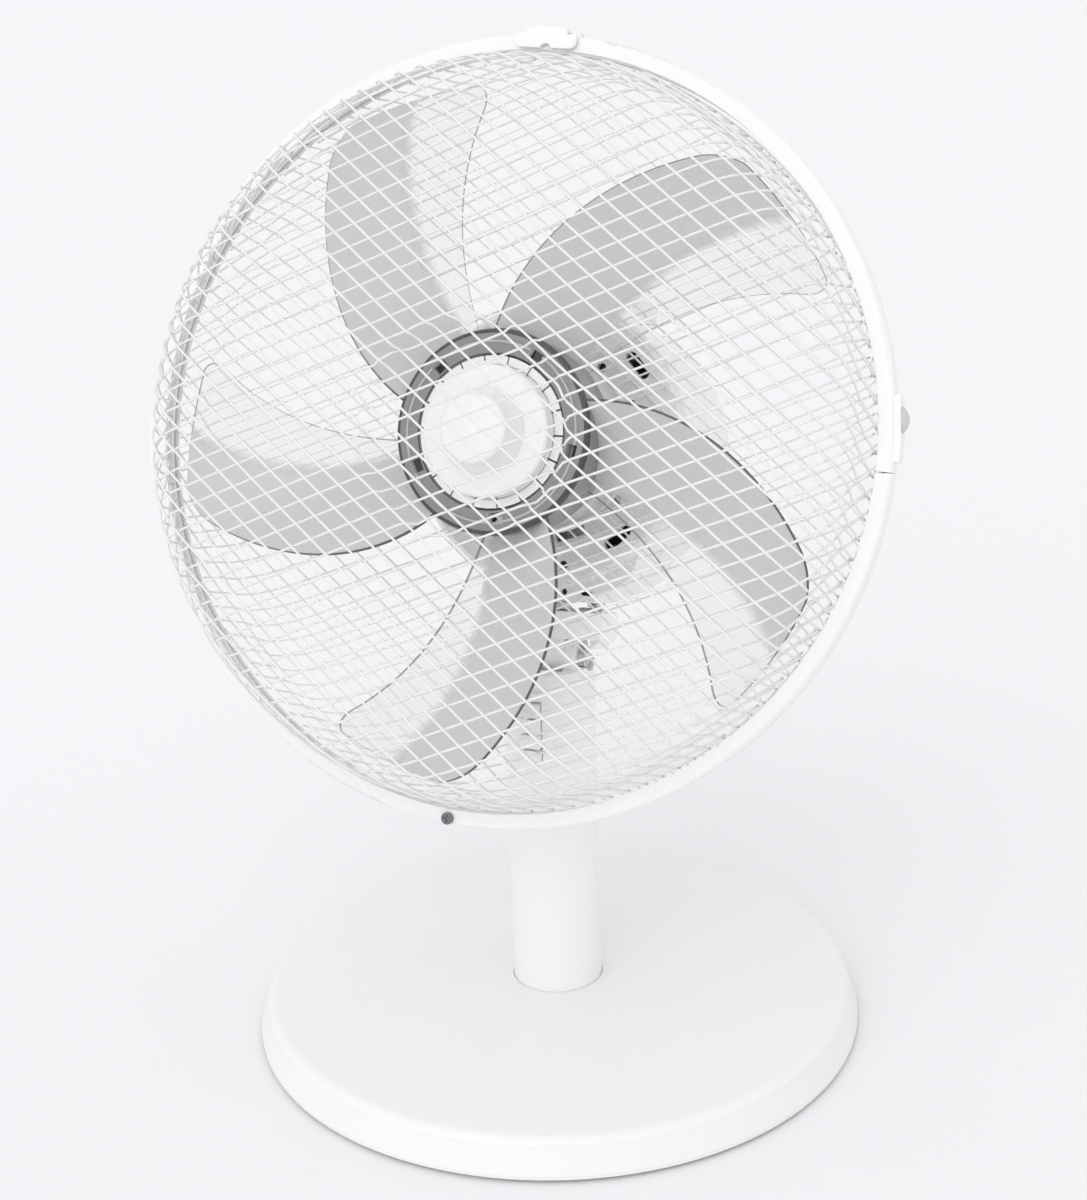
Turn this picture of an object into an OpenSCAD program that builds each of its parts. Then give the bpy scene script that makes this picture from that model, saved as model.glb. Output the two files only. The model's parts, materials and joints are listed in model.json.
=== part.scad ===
// Desk fan: round weighted base, column with push keys, tilting neck, oscillating motor head,
// translucent five-blade impeller and a two-part mesh cage held by a clamp ring. The two mesh
// shells are closed sheets that stand for the woven wire.
// Millimetres. Origin: centre of the base on the surface it stands on. +Z up, the fan faces -Y.

/* [Base] */
// Diameter of the base at its lower edge
base_d = 305; // [280:1:320]
// Diameter of the flat top of the base
base_top_d = 297; // [270:1:310]
// Height of the base above the surface
base_h = 20; // [18:1:26]
// Thickness of the plastic walls
wall = 2.5; // [2:0.5:3.5]
// Height of the rubber feet below the base cover
foot_h = 2; // [1.5:0.5:3]

/* [Column] */
// Outer diameter of the column
column_d = 45; // [42:0.5:48]
// Height of the column's top edge
column_top = 190.5; // [186:0.5:192]

/* [Head] */
// Height at which the fan axis crosses the column axis
axis_z = 299; // [295:1:305]
// Upward tilt of the head at rest
head_tilt = 18; // [12:1:24]
// Outer diameter of the clamp ring
ring_d = 350; // [346:1:356]
// Distance of the clamp ring's middle plane ahead of the column axis
ring_s = 49; // [47:1:51]
// Diameter of the motor covers
motor_d = 136; // [130:1:138]

/* [Impeller] */
// Radius of the blade tips
tip_r = 157; // [150:1:159]
// Number of blades
blades = 5; // [3:1:6]
// Thickness of a blade
blade_t = 1.8; // [1.4:0.1:2.4]

/* [Oscillation drive] */
// Throw of the crank pin
crank_throw = 12; // [8:1:12]

/* [Hidden] */
$fn = 96;
gap = 0.05;          // radial running clearance of a shaft in its hole
slack = 0.15;        // clearance of a screw in a clearance hole
eps = 0.01;

// Base
base_r = base_d / 2;
top_r = base_top_d / 2;
edge_r = 5;          // rounding of the base's top edge
plate_t = 2;
plate_r = base_r - wall - 2.2;
plate_z = foot_h + 1;
foot_r = 9;
foot_ring_r = 124;
foot_count = 6;
boss_r = 4;
boss_ring_r = 138;
weight_r = 118;
weight_t = 6;
weight_z = plate_z + plate_t + eps;
grommet_r = 4;
grommet_bore = 2.9;
grommet_l = 11;
grommet_z = 10;
cover_under = base_h - wall;

// Column
column_r = column_d / 2;
column_in = column_r - wall;
flange_r = 36;
flange_t = 3;
flange_z = cover_under - 5 - flange_t;
column_screw_r = 29;
ear_in = 12;         // inner face of each fork ear from the middle
ear_t = 5;
ear_r = 11;
tilt_pin_r = 3;
shelf_z = 181;       // underside of the solid head that closes the column
pocket_l = 28;       // pocket for the neck's lug, front to back

// Keys and bezel on the column's front
bezel_w = 20;
bezel_h = 40;
bezel_z = 162;
bezel_proud = 2.4;
key_w = 9.6;
key_h = 6.8;
key_pitch = 8;
key_proud = 3.2;
key_back = 15.6;     // distance of a key's rear face ahead of the column axis
key_z = [bezel_z + 1.5 * key_pitch, bezel_z + 0.5 * key_pitch,
    bezel_z - 0.5 * key_pitch, bezel_z - 1.5 * key_pitch];

// Head frame: its own Z runs forward along the fan axis, Y up the head, X to the right
tilt_y = -100;                                        // tilt pivot in the head frame
turn_s = tilt_y * sin(head_tilt) / cos(head_tilt);    // oscillation axis along the fan axis
tilt_z = axis_z + turn_s * sin(head_tilt) + tilt_y * cos(head_tilt);

// Neck, in the head frame
neck_w = 56;
neck_swing_r = 26.2; // radius of the neck's front about the oscillation axis, clear of the cage
neck_side = 6;       // forward end of the neck's straight sides, from the oscillation axis
neck_l = 50;
neck_top = -78.3;
neck_bottom = -91.2;
cheek_x = 23;        // inner face of the cheeks that hang beside the column
neck_r = 7;          // rounding of the neck's vertical edges
lug_t = 2 * ear_in - 0.8;
lug_r = 10;
bush_r = 8;
post_r = 5;

groove_y = -84;      // height of the groove in the oscillation post

// Motor covers
screw_angles = [0, 90, 180];
cover_r = motor_d / 2;
cover_front_s = -8;
cover_split_s = -45;
cover_meet_s = cover_split_s - 0.3;
cover_rear_s = -112;
cover_round = 30;
boss_outer = 20;
boss_end_s = 6;
chin_y = -73.2;      // flat underside of the covers over the neck
chin_front_s = -11;
chin_rear_s = -70;

// Motor
shaft_r = 4;
shield_r = 46;
stator_r = 42;
stator_front_s = -32;
stator_rear_s = -56;
rotor_r = 24;
bolt_ring_r = 44;

// Oscillation drive
gear_m = 0.8;
wheel_teeth = 30;
wheel_r = gear_m * wheel_teeth / 2;
worm_pitch = PI * gear_m;
worm_r = 4;
worm_turns = 4;
crank_x = wheel_r + worm_r;
crank_s = -91;
crank_pin = [crank_x - crank_throw, crank_s];         // X and axis position of the link's two ends
link_pin = [12, -61.5];
link_top = -74.8;
link_t = 2;
link_r = 3.5;
link_w = 5.6;
link_l = norm(crank_pin - link_pin);
link_a = 180 - atan2(crank_pin[0] - link_pin[0], link_pin[1] - crank_pin[1]);

// Cage
ring_r = ring_d / 2;
ring_in = ring_r - 7;
ring_half = 6;       // half the ring's width along the fan axis
rim_r = 1.2;
rim_ring_r = ring_in + 1.4;
rim_off = 1.4;       // distance of each rim from the ring's middle plane
rim_gap = 0.22;      // distance from a rim to the edge of its mesh
clip_a = -3;         // turn of the clip and the clamp screw about the fan axis
mesh_t = 0.4;
seam_a = -2;         // angle of the right-hand seam of the ring
block_a = 4;         // angle of the right-hand joint block
button_a = 5.2;      // angle of the right-hand button
plate_s = -7.8;      // outer face of the rear mesh's centre plate
hub_r = 45.5;
hub_front = 64;
hub_rear = 30;

// Impeller
blade_root = hub_r - 2.5;
tip_round = 11;
nut_flange_r = 33.4;
span_steps = 11;
chord_steps = 7;

module in_head() translate([0, 0, axis_z]) rotate([90 - head_tilt, 0, 0]) children();

// Cylinder along the head frame's Y, its low end at y
module post(x, y, s, r, h) translate([x, y + h, s]) rotate([90, 0, 0]) cylinder(r = r, h = h);

// Ring of rectangular section turned about the Z axis
module tube(r_out, r_in, z, h) difference() {
    translate([0, 0, z]) cylinder(r = r_out, h = h);
    translate([0, 0, z - 1]) cylinder(r = r_in, h = h + 2);
}

module around(n, r, start = 0)
    for (i = [0:n - 1]) rotate([0, 0, start + i * 360 / n]) translate([r, 0, 0]) children();

// Screw with a pan head at z = 0 below and its shank running up
module screw(r, len, head_r, head_h) {
    cylinder(r = r, h = len);
    difference() {
        translate([0, 0, -head_h]) cylinder(r = head_r, h = head_h);
        for (a = [0, 90]) rotate([0, 0, a])
            translate([-head_r * 0.6, -0.4, -head_h - 1]) cube([head_r * 1.2, 0.8, 1.6]);
    }
}

// ---- Base ----

// Half section of the base cover
module base_section() {
    difference() {
        base_outline(0);
        intersection() {
            base_outline(wall);
            translate([0, -10]) square([base_r, cover_under + 10]);
        }
        square([column_r + 0.35, base_h + 1]);
    }
}

// Half outline of the base, or with an inset the room inside it, which runs out at the bottom
module base_outline(inset) {
    low = foot_h - (inset > 0 ? 1 : 0);
    round_x = top_r - edge_r - inset;
    round_z = base_h - edge_r - inset;
    polygon(concat(
        [[0, low], [base_r - inset, low], [base_r - inset, foot_h + 2]],
        [for (a = [0:15:90]) [round_x + edge_r * cos(a), round_z + edge_r * sin(a)]],
        [[0, base_h - inset]]));
}

module base_cover() color("white") difference() {
    union() {
        rotate_extrude() base_section();
        around(foot_count, boss_ring_r) translate([0, 0, plate_z + plate_t + gap])
            cylinder(r = boss_r, h = cover_under - plate_z - plate_t + 1);
        around(4, column_screw_r, 45) translate([0, 0, flange_z + flange_t + gap])
            cylinder(r = 3.5, h = 5.2);
    }
    around(foot_count, boss_ring_r) cylinder(r = 1.6, h = 12);
    around(4, column_screw_r, 45) translate([0, 0, flange_z]) cylinder(r = 1.6, h = 6.5);
    translate([0, base_r - 12, grommet_z]) rotate([-90, 0, 0]) cylinder(r = grommet_r + slack, h = 20);
}

module base_plate() color("dimgray") difference() {
    translate([0, 0, plate_z]) cylinder(r = plate_r, h = plate_t);
    around(foot_count, boss_ring_r) translate([0, 0, -1]) cylinder(r = 1.6 + slack, h = 10);
    around(foot_count, foot_ring_r) translate([0, 0, -1]) cylinder(r = 4.1, h = 10);
    around(4, column_screw_r, 45) translate([0, 0, -1]) cylinder(r = 3.6, h = 10);
}

module base_weight() color("slategray") tube(weight_r, flange_r + 6, weight_z, weight_t);

module rubber_feet() color("black") around(foot_count, foot_ring_r) {
    cylinder(r = foot_r, h = plate_z - eps);
    cylinder(r = 4, h = plate_z + plate_t);
}

module base_screws() color("silver") around(foot_count, boss_ring_r)
    translate([0, 0, plate_z - eps]) screw(1.55, 9, 2.8, 0.9);

// Rubber gland in the back of the base cover
module cord_grommet() color("black") translate([0, base_r, grommet_z]) rotate([-90, 0, 0]) difference() {
    union() {
        translate([0, 0, -grommet_l]) cylinder(r = grommet_r, h = grommet_l);
        translate([0, 0, -grommet_l]) cylinder(r = grommet_r + 0.9, h = 2);
    }
    translate([0, 0, -grommet_l - 1]) cylinder(r = grommet_bore, h = grommet_l + 2);
}

// ---- Column ----

module ear(side) translate([side > 0 ? ear_in : -ear_in - ear_t, 0, 0]) {
    translate([0, 0, tilt_z]) rotate([0, 90, 0]) cylinder(r = ear_r, h = ear_t);
    translate([0, -ear_r, shelf_z]) cube([ear_t, 2 * ear_r, tilt_z - shelf_z]);
}

module column() color("white") difference() {
    union() {
        tube(column_r, column_in, flange_z, column_top - flange_z);
        tube(flange_r, column_in, flange_z, flange_t);
        for (side = [-1, 1]) ear(side);
        difference() {
            translate([0, 0, shelf_z]) cylinder(r = column_in + 0.5, h = column_top - shelf_z);
            translate([-ear_in, -pocket_l / 2, shelf_z + 2]) cube([2 * ear_in, pocket_l, 20]);
        }
    }
    // notches for the head and the nut of the tilt bolt
    for (side = [-1, 1]) translate([side * (ear_in + ear_t + 7.02), 0, tilt_z]) rotate([0, 90, 0])
        cylinder(r = 6.4, h = 14, center = true);
    translate([-30, 0, tilt_z]) rotate([0, 90, 0]) cylinder(r = tilt_pin_r + gap, h = 60);
    translate([-bezel_w / 2 + 2, -column_r - 5, bezel_z - bezel_h / 2 + 2])
        cube([bezel_w - 4, 12, bezel_h - 4]);
    around(4, column_screw_r, 45) translate([0, 0, flange_z - 1]) cylinder(r = 1.6 + slack, h = 8);
}

module column_screws() color("silver") around(4, column_screw_r, 45)
    translate([0, 0, flange_z - eps]) screw(1.55, 6, 2.8, 1.6);

module tilt_bolt() color("silver") {
    translate([-ear_in - ear_t - 3.2, 0, tilt_z]) rotate([0, 90, 0]) cylinder(r = tilt_pin_r, h = 41);
    translate([-ear_in - ear_t - 3.2, 0, tilt_z]) rotate([0, 90, 0]) cylinder(r = 5.5, h = 3, $fn = 6);
}

module tilt_nut() color("silver") difference() {
    translate([ear_in + ear_t + 0.1, 0, tilt_z]) rotate([0, 90, 0]) cylinder(r = 5.8, h = 3.4, $fn = 6);
    translate([ear_in, 0, tilt_z]) rotate([0, 90, 0]) cylinder(r = tilt_pin_r + gap, h = 20);
}

// ---- Controls ----

module control_bezel() color("white") difference() {
    intersection() {
        translate([-bezel_w / 2, -column_r - bezel_proud, bezel_z - bezel_h / 2])
            cube([bezel_w, 8, bezel_h]);
        tube(column_r + bezel_proud, column_r + 0.05, 0, 300);
    }
    translate([-key_w / 2 - 0.4, -40, key_z[3] - key_h / 2 - 0.6])
        cube([key_w + 0.8, 30, key_z[0] - key_z[3] + key_h + 1.2]);
}

module key(i) translate([-key_w / 2, -column_r - bezel_proud - key_proud, key_z[i] - key_h / 2])
    difference() {
        cube([key_w, column_r + bezel_proud + key_proud - key_back - 2.3, key_h]);
        // shallow finger dish in the key's front
        translate([key_w / 2, -14, 0]) cylinder(r = 14.8, h = key_h * 3, center = true);
    }

module key_off() color("gainsboro") key(0);
module key_low() color("white") key(1);
module key_medium() color("white") key(2);
module key_high() color("white") key(3);

module switch_block() color("dimgray") {
    translate([-6.5, -key_back + 1.5, bezel_z - 18]) cube([13, 9, 36]);
    // mounting plate against the column's inner wall
    translate([-12.9, -key_back + 0.5, bezel_z - 18]) cube([25.8, 1.5, 36]);
}

module run_capacitor() color("black") translate([-11, 2.5, 66]) cube([22, 14, 34]);

// ---- Neck ----

// Plan of the neck about the oscillation axis, forward along Y, with a round front
module neck_plan() {
    translate([-neck_w / 2 + neck_r, -neck_l / 2]) square([neck_w - 2 * neck_r, neck_l / 2]);
    translate([-neck_w / 2, -neck_l / 2 + neck_r]) square([neck_w, neck_l / 2 - neck_r + neck_side]);
    for (x = [-1, 1]) translate([x * (neck_w / 2 - neck_r), -neck_l / 2 + neck_r]) circle(r = neck_r);
    polygon([[-neck_w / 2, neck_side], [neck_w / 2, neck_side], [19, 18], [-19, 18]]);
    circle(r = neck_swing_r);
}

module neck_box() translate([0, neck_top, turn_s]) rotate([90, 0, 0])
    linear_extrude(neck_top - neck_bottom) neck_plan();

// Tapered cheek under the neck, beside the column
module cheek(side) translate([0, 0, turn_s - 17]) linear_extrude(17 + neck_side - 0.5)
    polygon([[side * cheek_x, neck_bottom + 1], [side * (neck_w / 2 - 0.5), neck_bottom + 1],
        [side * (neck_w / 2 - 0.5), neck_bottom - 0.6], [side * cheek_x, neck_bottom - 5]]);

module tilt_neck() color("white") in_head() difference() {
    union() {
        neck_box();
        for (side = [-1, 1]) cheek(side);
        // lug between the fork ears
        translate([-lug_t / 2, tilt_y, turn_s]) rotate([0, 90, 0]) cylinder(r = lug_r, h = lug_t);
        translate([-lug_t / 2, tilt_y, turn_s - lug_r]) cube([lug_t, neck_bottom - tilt_y + 1, 2 * lug_r]);
        // lug and stud that hold the oscillation link
        translate([link_pin[0] - 6, -80.5, link_pin[1] - 3.5]) cube([12, 3, 9]);
        post(link_pin[0], -78, link_pin[1], 2, 3.9);
    }
    // room for the fork ears
    for (x = [-ear_in - ear_t - 0.6, lug_t / 2]) translate([x, tilt_y, turn_s]) rotate([0, 90, 0])
        cylinder(r = ear_r + 0.6, h = ear_in + ear_t + 0.6 - lug_t / 2);
    translate([-lug_t, tilt_y, turn_s]) rotate([0, 90, 0]) cylinder(r = tilt_pin_r + gap, h = 3 * lug_t);
    post(0, neck_bottom, turn_s, bush_r, 30);
    screw_hole();
}

// Hole for the set screw that runs in the oscillation post's groove
module screw_hole() translate([0, groove_y, turn_s - neck_l]) cylinder(r = 1.6 + gap, h = neck_l);

module pivot_bush() color("peru") in_head() difference() {
    post(0, neck_bottom, turn_s, bush_r, neck_top - neck_bottom);
    post(0, neck_bottom - 1, turn_s, post_r + gap, 30);
    screw_hole();
}

module pivot_screw() color("silver") in_head() translate([0, groove_y, turn_s - neck_l / 2 - 1.6])
    cylinder(r = 1.6, h = neck_l / 2 + 1.6 - post_r + 0.4);

module link_arm() color("silver") in_head() difference() {
    union() {
        for (end = [link_pin, crank_pin]) post(end[0], link_top - link_t, end[1], link_r, link_t);
        translate([link_pin[0], link_top - link_t, link_pin[1]]) rotate([0, link_a, 0])
            translate([-link_w / 2, 0, 0]) cube([link_w, link_t, link_l]);
    }
    for (end = [link_pin, crank_pin]) post(end[0], -80, end[1], 2 + gap, 10);
}

// ---- Motor covers ----

module oscillation_post() color("silver") in_head() difference() {
    union() {
        post(0, neck_bottom + 0.5, turn_s, post_r, 41.5);
        post(0, neck_top + 0.4, turn_s, 10, 3.6);
        // saddle under the stator
        translate([-12, -52, stator_rear_s]) cube([24, 10, 34]);
    }
    translate([0, 0, stator_rear_s - 1]) cylinder(r = stator_r + 4.52, h = 40);
    // groove for the set screw
    difference() {
        post(0, groove_y - 2, turn_s, post_r + 1, 4);
        post(0, groove_y - 3, turn_s, post_r - 0.8, 6);
    }
}

module motor_front_cover() color("white") in_head() difference() {
    union() {
        difference() {
            union() {
                translate([0, 0, cover_split_s]) cylinder(r = cover_r, h = cover_front_s - 3 - cover_split_s);
                front_chin(0);
            }
            translate([0, 0, cover_split_s - 1])
                cylinder(r = cover_r - wall, h = cover_front_s - cover_split_s - 2);
            front_chin(wall);
        }
        translate([0, 0, cover_front_s - 3]) cylinder(r1 = cover_r, r2 = cover_r - 3, h = 3);
        translate([0, 0, cover_front_s - 3]) cylinder(r = boss_outer, h = boss_end_s - cover_front_s + 3);
        at_screws() translate([0, 0, cover_split_s + 4])
            cylinder(r = 4, h = cover_front_s - cover_split_s - 6);
    }
    translate([0, 0, cover_front_s - 4]) cylinder(r = 9, h = 30);
    // vent slots and holes in the front face
    for (i = [0:3]) rotate([0, 0, i * 90 + 43]) {
        for (k = [-1, 1]) rotate([0, 0, k * 5]) vent(57, 2.6);
        slot(57, 5.18, 9.9);
        rotate([0, 0, 13.7]) vent(44, 2.2);
        rotate([0, 0, -30]) vent(58, 2.2);
        rotate([0, 0, -22.7]) slot(43.4, 6, 15);
        rotate([0, 0, -15]) slot(35.8, 1.8, 7);
    }
    // openings in the front wall of the chin
    translate([13.5, -69, cover_front_s]) cylinder(r = 1.5, h = 14, center = true);
    translate([21.5, -70, cover_front_s - 7]) cube([6, 2.2, 8]);
    at_screws() translate([0, 0, cover_split_s]) cylinder(r = 1.6, h = 20);
    // opening for the oscillation post
    post(0, -75, turn_s, 11, 12);
}

// Section of the flat-bottomed block under the covers, with a gusset on the gearbox side; with an
// inset, the hollow inside it
module chin_section(inset) polygon([[-28 + inset, -50], [-28 + inset, chin_y + inset],
    [28 - inset * 0.6, chin_y + inset], [30 - inset * 0.7, -70 + inset * 0.8],
    [45 - inset, -60.5 + inset * 0.3], [50 - inset, -45]]);

// The hollow of each block runs out at the joint between the covers
module front_chin(inset) {
    open_end = inset > 0 ? 1 : 0;
    translate([0, 0, cover_split_s - open_end])
        linear_extrude(chin_front_s - cover_split_s - inset + open_end) chin_section(inset);
}

module rear_chin(inset) {
    open_end = inset > 0 ? 1 : 0;
    translate([0, 0, chin_rear_s + inset])
        linear_extrude(cover_meet_s - chin_rear_s - inset + open_end) chin_section(inset);
}

module at_screws() for (a = screw_angles) rotate([0, 0, a]) translate([58, 0, 0]) children();
module vent(at, r) translate([at, 0, cover_front_s - 8]) cylinder(r = r, h = 12);
module slot(at, w, l) translate([at - w / 2, -l / 2, cover_front_s - 8]) cube([w, l, 12]);

module rear_outline(inset) {
    open_s = cover_meet_s + (inset > 0 ? 1 : 0);
    polygon(concat([[0, open_s], [cover_r - inset, open_s]],
        [for (a = [0:-10:-90]) [cover_r - cover_round + (cover_round - inset) * cos(a),
            cover_rear_s + cover_round + (cover_round - inset) * sin(a)]],
        [[0, cover_rear_s + inset]]));
}

module motor_rear_cover() color("white") in_head() difference() {
    union() {
        difference() {
            union() {
                rotate_extrude() rear_outline(0);
                rear_chin(0);
            }
            rotate_extrude() rear_outline(wall);
            rear_chin(wall);
        }
        intersection() {
            at_screws() translate([0, 0, cover_rear_s + 8])
                cylinder(r = 4.4, h = cover_split_s - cover_rear_s - 9);
            rotate_extrude() rear_outline(1);
        }
    }
    at_screws() translate([0, 0, cover_rear_s - 1]) {
        cylinder(r = 1.6 + slack, h = 80);
        cylinder(r = 3.2, h = 15);
    }
    // vent slots in the rear face
    for (i = [-4:4]) translate([i * 7 - 1.5, -24 + abs(i) * 2, cover_rear_s - 2])
        cube([3, 48 - abs(i) * 4, 8]);
    // openings for the crank axle and for the knob's stem
    post(crank_x, -75, crank_s, 4, 15);
    post(crank_x, 50, crank_s, 2.95, 30);
}

module cover_screws() color("silver") in_head() at_screws()
    translate([0, 0, cover_rear_s + 14 - eps]) screw(1.55, 66, 3, 1.8);

// ---- Motor ----

module shield(s, hub_from, hub_to) difference() {
    union() {
        translate([0, 0, s]) cylinder(r = shield_r + 3, h = 3);
        translate([0, 0, hub_from]) cylinder(r = 11, h = hub_to - hub_from);
    }
    translate([0, 0, s - 10]) cylinder(r = 7.02, h = 30);
    around(4, bolt_ring_r) translate([0, 0, s - 5]) cylinder(r = 1.6 + slack, h = 20);
    around(4, 28, 45) translate([0, 0, s - 5]) cylinder(r = 7, h = 20);
}

module front_shield() color("silver") in_head() shield(-19.5, -22.5, cover_front_s - 3 - eps);
module rear_shield() color("silver") in_head() shield(-71.5, -74.5, -65.5);

module tie_bolts() color("gray") in_head() around(4, bolt_ring_r)
    translate([0, 0, -71.5 - eps]) screw(1.55, 56, 3, 2);

module stator() color("lightsteelblue") in_head() difference() {
    translate([0, 0, stator_rear_s]) cylinder(r = stator_r + 4.5, h = stator_front_s - stator_rear_s);
    translate([0, 0, stator_rear_s - 1]) cylinder(r = rotor_r + 0.4, h = 60);
    around(8, rotor_r + 8, 22.5) translate([0, 0, stator_rear_s - 1]) cylinder(r = 5, h = 60);
    around(4, bolt_ring_r) translate([0, 0, stator_rear_s - 1]) cylinder(r = 1.6 + slack, h = 60);
}

module windings() color("peru") in_head() for (s = [stator_rear_s - 8.2, stator_front_s + 0.1])
    tube(37, 27, s, 8);

module bush(s) tube(7, shaft_r + gap, s, 8);
module front_bush() color("goldenrod") in_head() bush(-22);
module rear_bush() color("goldenrod") in_head() bush(-74);

// Worm box on the rear shield, with a bore for the shaft and one for the wheel's axle
module gearbox() color("dimgray") in_head() difference() {
    translate([-12.5, -16, -106.5]) cube([45, 32, 106.5 - 74.52]);
    translate([-10, -13, -104.2]) cube([40, 26, 104.2 - 77.2]);
    translate([0, 0, -90]) cylinder(r = 8, h = 30);
    post(crank_x, -30, crank_s, 3 + gap, 60);
}

// ---- Oscillation drive ----

// Points of one turn-by-turn helical thread on the worm
thread_steps = 20;
function thread_ring(k) = let (a = 360 * k / thread_steps, z = worm_pitch * k / thread_steps)
    [for (q = [[-0.95, 0.62], [0.8, 0.22], [0.8, -0.22], [-0.95, -0.62]])
        [(worm_r + q[0]) * cos(a), (worm_r + q[0]) * sin(a), z + q[1]]];

module thread() {
    n = thread_steps * worm_turns;
    polyhedron(
        points = [for (k = [0:n]) each thread_ring(k)],
        faces = concat([[0, 1, 2, 3]], [[4 * n + 3, 4 * n + 2, 4 * n + 1, 4 * n]],
            [for (k = [0:n - 1], j = [0:3])
                let (a = 4 * k + j, b = 4 * k + (j + 1) % 4) [a, a + 4, b + 4, b]]),
        convexity = 10);
}

module worm() color("goldenrod") in_head() difference() {
    union() {
        translate([0, 0, crank_s - 7]) cylinder(r = worm_r - 0.8, h = 14);
        translate([0, 0, crank_s - worm_turns * worm_pitch / 2]) thread();
    }
    translate([0, 0, crank_s - 20]) cylinder(r = 2.2, h = 40);
}

// Wheel tooth, pointing along +X from the wheel's axis
module tooth() polygon([[wheel_r - 1.2, -0.72], [wheel_r, -0.5], [wheel_r + 0.62, -0.26],
    [wheel_r + 0.62, 0.26], [wheel_r, 0.5], [wheel_r - 1.2, 0.72]]);

module worm_wheel() color("ivory") in_head()
    translate([crank_x, 0, crank_s]) rotate([90, 0, 0]) difference() {
    union() {
        translate([0, 0, -2.5]) linear_extrude(5) union() {
            circle(r = wheel_r - 1);
            for (i = [0:wheel_teeth - 1]) rotate([0, 0, 180 + (i + 0.5) * 360 / wheel_teeth]) tooth();
        }
        translate([0, 0, -15.8]) cylinder(r = 3, h = 15.8 + 69.1);
    }
    // flat that drives the crank disc
    translate([2.5, -4, 60]) cube([4, 8, 12]);
}

module crank_arm() color("silver") in_head() {
    post(crank_x, -71.6, crank_s, 5.5, 2.5 - eps);
    post(crank_pin[0], -71.6, crank_s, 3.8, 2.5 - eps);
    translate([crank_pin[0], -71.6, crank_s - 3.4]) cube([crank_throw, 2.5 - eps, 6.8]);
    post(crank_pin[0], -74.3, crank_s, 2, 3);
}

module oscillation_knob() color("white") in_head() {
    post(crank_x, 17, crank_s, 2.6, 52);
    difference() {
        post(crank_x, 67.2, crank_s, 6.5, 11);
        // finger grooves
        for (a = [0:45:315]) translate([crank_x, 0, crank_s]) rotate([0, a, 0]) post(7.4, 70.5, 0, 1.5, 10);
    }
}

// ---- Cage ----

// Domed mesh shell: outline points of its outer face as radius and axis position
front_face = concat(
    [[rim_ring_r, ring_s + rim_off + rim_r + rim_gap], [ring_in - 0.6, 53], [166.8, 56],
        [164.6, 62], [163.2, 67]],
    [for (a = [5:15:80]) [140.5 + 22.5 * cos(a), 69 + 22.5 * sin(a)]],
    [[135, 92.3], [100, 95], [60, 97.4], [47, 98], [44, 93.6], [20, 94.4], [0, 94.6]]);
rear_face = concat(
    [[rim_ring_r, ring_s - rim_off - rim_r - rim_gap], [ring_in - 0.6, 45], [167, 38], [165.6, 30]],
    [for (a = [-8:-14:-78]) [141 + 25 * cos(a), 26 + 25 * sin(a)]],
    [[120, -2.2], [90, -4.4], [64, -5.6], [42, plate_s], [boss_outer + 0.4, plate_s]]);

// The shell's other face lies inside the cage: mesh_t nearer its middle plane, and on the steep
// outer part mesh_t nearer the fan axis
function inner(p, dir) = p[0] > 150 ? [p[0] - mesh_t, p[1] - dir * mesh_t / 2] : [p[0], p[1] - dir * mesh_t];
function shell(face, dir) = concat(face, [for (i = [len(face) - 1:-1:0]) inner(face[i], dir)]);

module front_grille() color("whitesmoke") in_head() rotate_extrude() polygon(shell(front_face, 1));

module rear_grille() color("lightgray") in_head() rotate_extrude() polygon(shell(rear_face, -1));

module rim(s) rotate_extrude() translate([rim_ring_r, s]) circle(r = rim_r, $fn = 32);
module rear_rim() color("lightgray") in_head() rim(ring_s - rim_off);
module front_rim() color("white") in_head() rim(ring_s + rim_off);

module grille_nut() color("white") in_head() difference() {
    union() {
        translate([0, 0, plate_s + mesh_t + eps]) cylinder(r = 36, h = 3);
        translate([0, 0, plate_s + mesh_t + eps]) cylinder(r = 27, h = 12);
        around(6, 27) translate([0, 0, plate_s + 3]) cylinder(r = 3, h = 9.2);
    }
    translate([0, 0, -10]) cylinder(r = boss_outer + gap, h = 30);
}

// Section of the clamp ring: a channel open towards the fan axis with rounded outer corners
module ring_section() difference() {
    union() {
        translate([ring_in, -ring_half]) square([4.5, 2 * ring_half]);
        translate([ring_in + 4, -ring_half + 2.5]) square([3, 2 * ring_half - 5]);
        for (k = [-1, 1]) translate([ring_r - 2.5, k * (ring_half - 2.5)]) circle(r = 2.5, $fn = 32);
    }
    translate([ring_in - 1, -4]) square([3.9, 8]);
}

module half_ring(start) difference() {
    union() {
        rotate([0, 0, start]) rotate_extrude(angle = 179.8) translate([0, ring_s]) ring_section();
        // thickened joint block
        rotate([0, 0, start + block_a - seam_a - 4.5]) rotate_extrude(angle = 9)
            translate([ring_r - 3, ring_s - ring_half + 1]) square([5, 2 * ring_half - 2]);
    }
    rotate([0, 0, start + button_a - seam_a]) translate([ring_r - 2, 0, ring_s]) rotate([0, 90, 0])
        cylinder(r = 2.1, h = 8);
}

module upper_ring() color("white") in_head() difference() {
    union() {
        half_ring(seam_a);
        // lugs for the clip's hinge pin
        for (x = [-11, 8]) rotate([0, 0, clip_a])
            translate([x, ring_r - 2, ring_s - ring_half - 3]) cube([3, 5.5, 5]);
    }
    clip_axis(1 + gap, 40);
}

// Cylinder along the clip's hinge
module clip_axis(r, h) rotate([0, 0, clip_a]) translate([-h / 2, ring_r + 1.2, ring_s - ring_half - 1])
    rotate([0, 90, 0]) cylinder(r = r, h = h);

module lower_ring() color("white") in_head() difference() {
    half_ring(seam_a + 180);
    rotate([0, 0, clip_a]) translate([0, -ring_in - 4.2, ring_s - 4]) cylinder(r = 1.25, h = 20);
}

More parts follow.
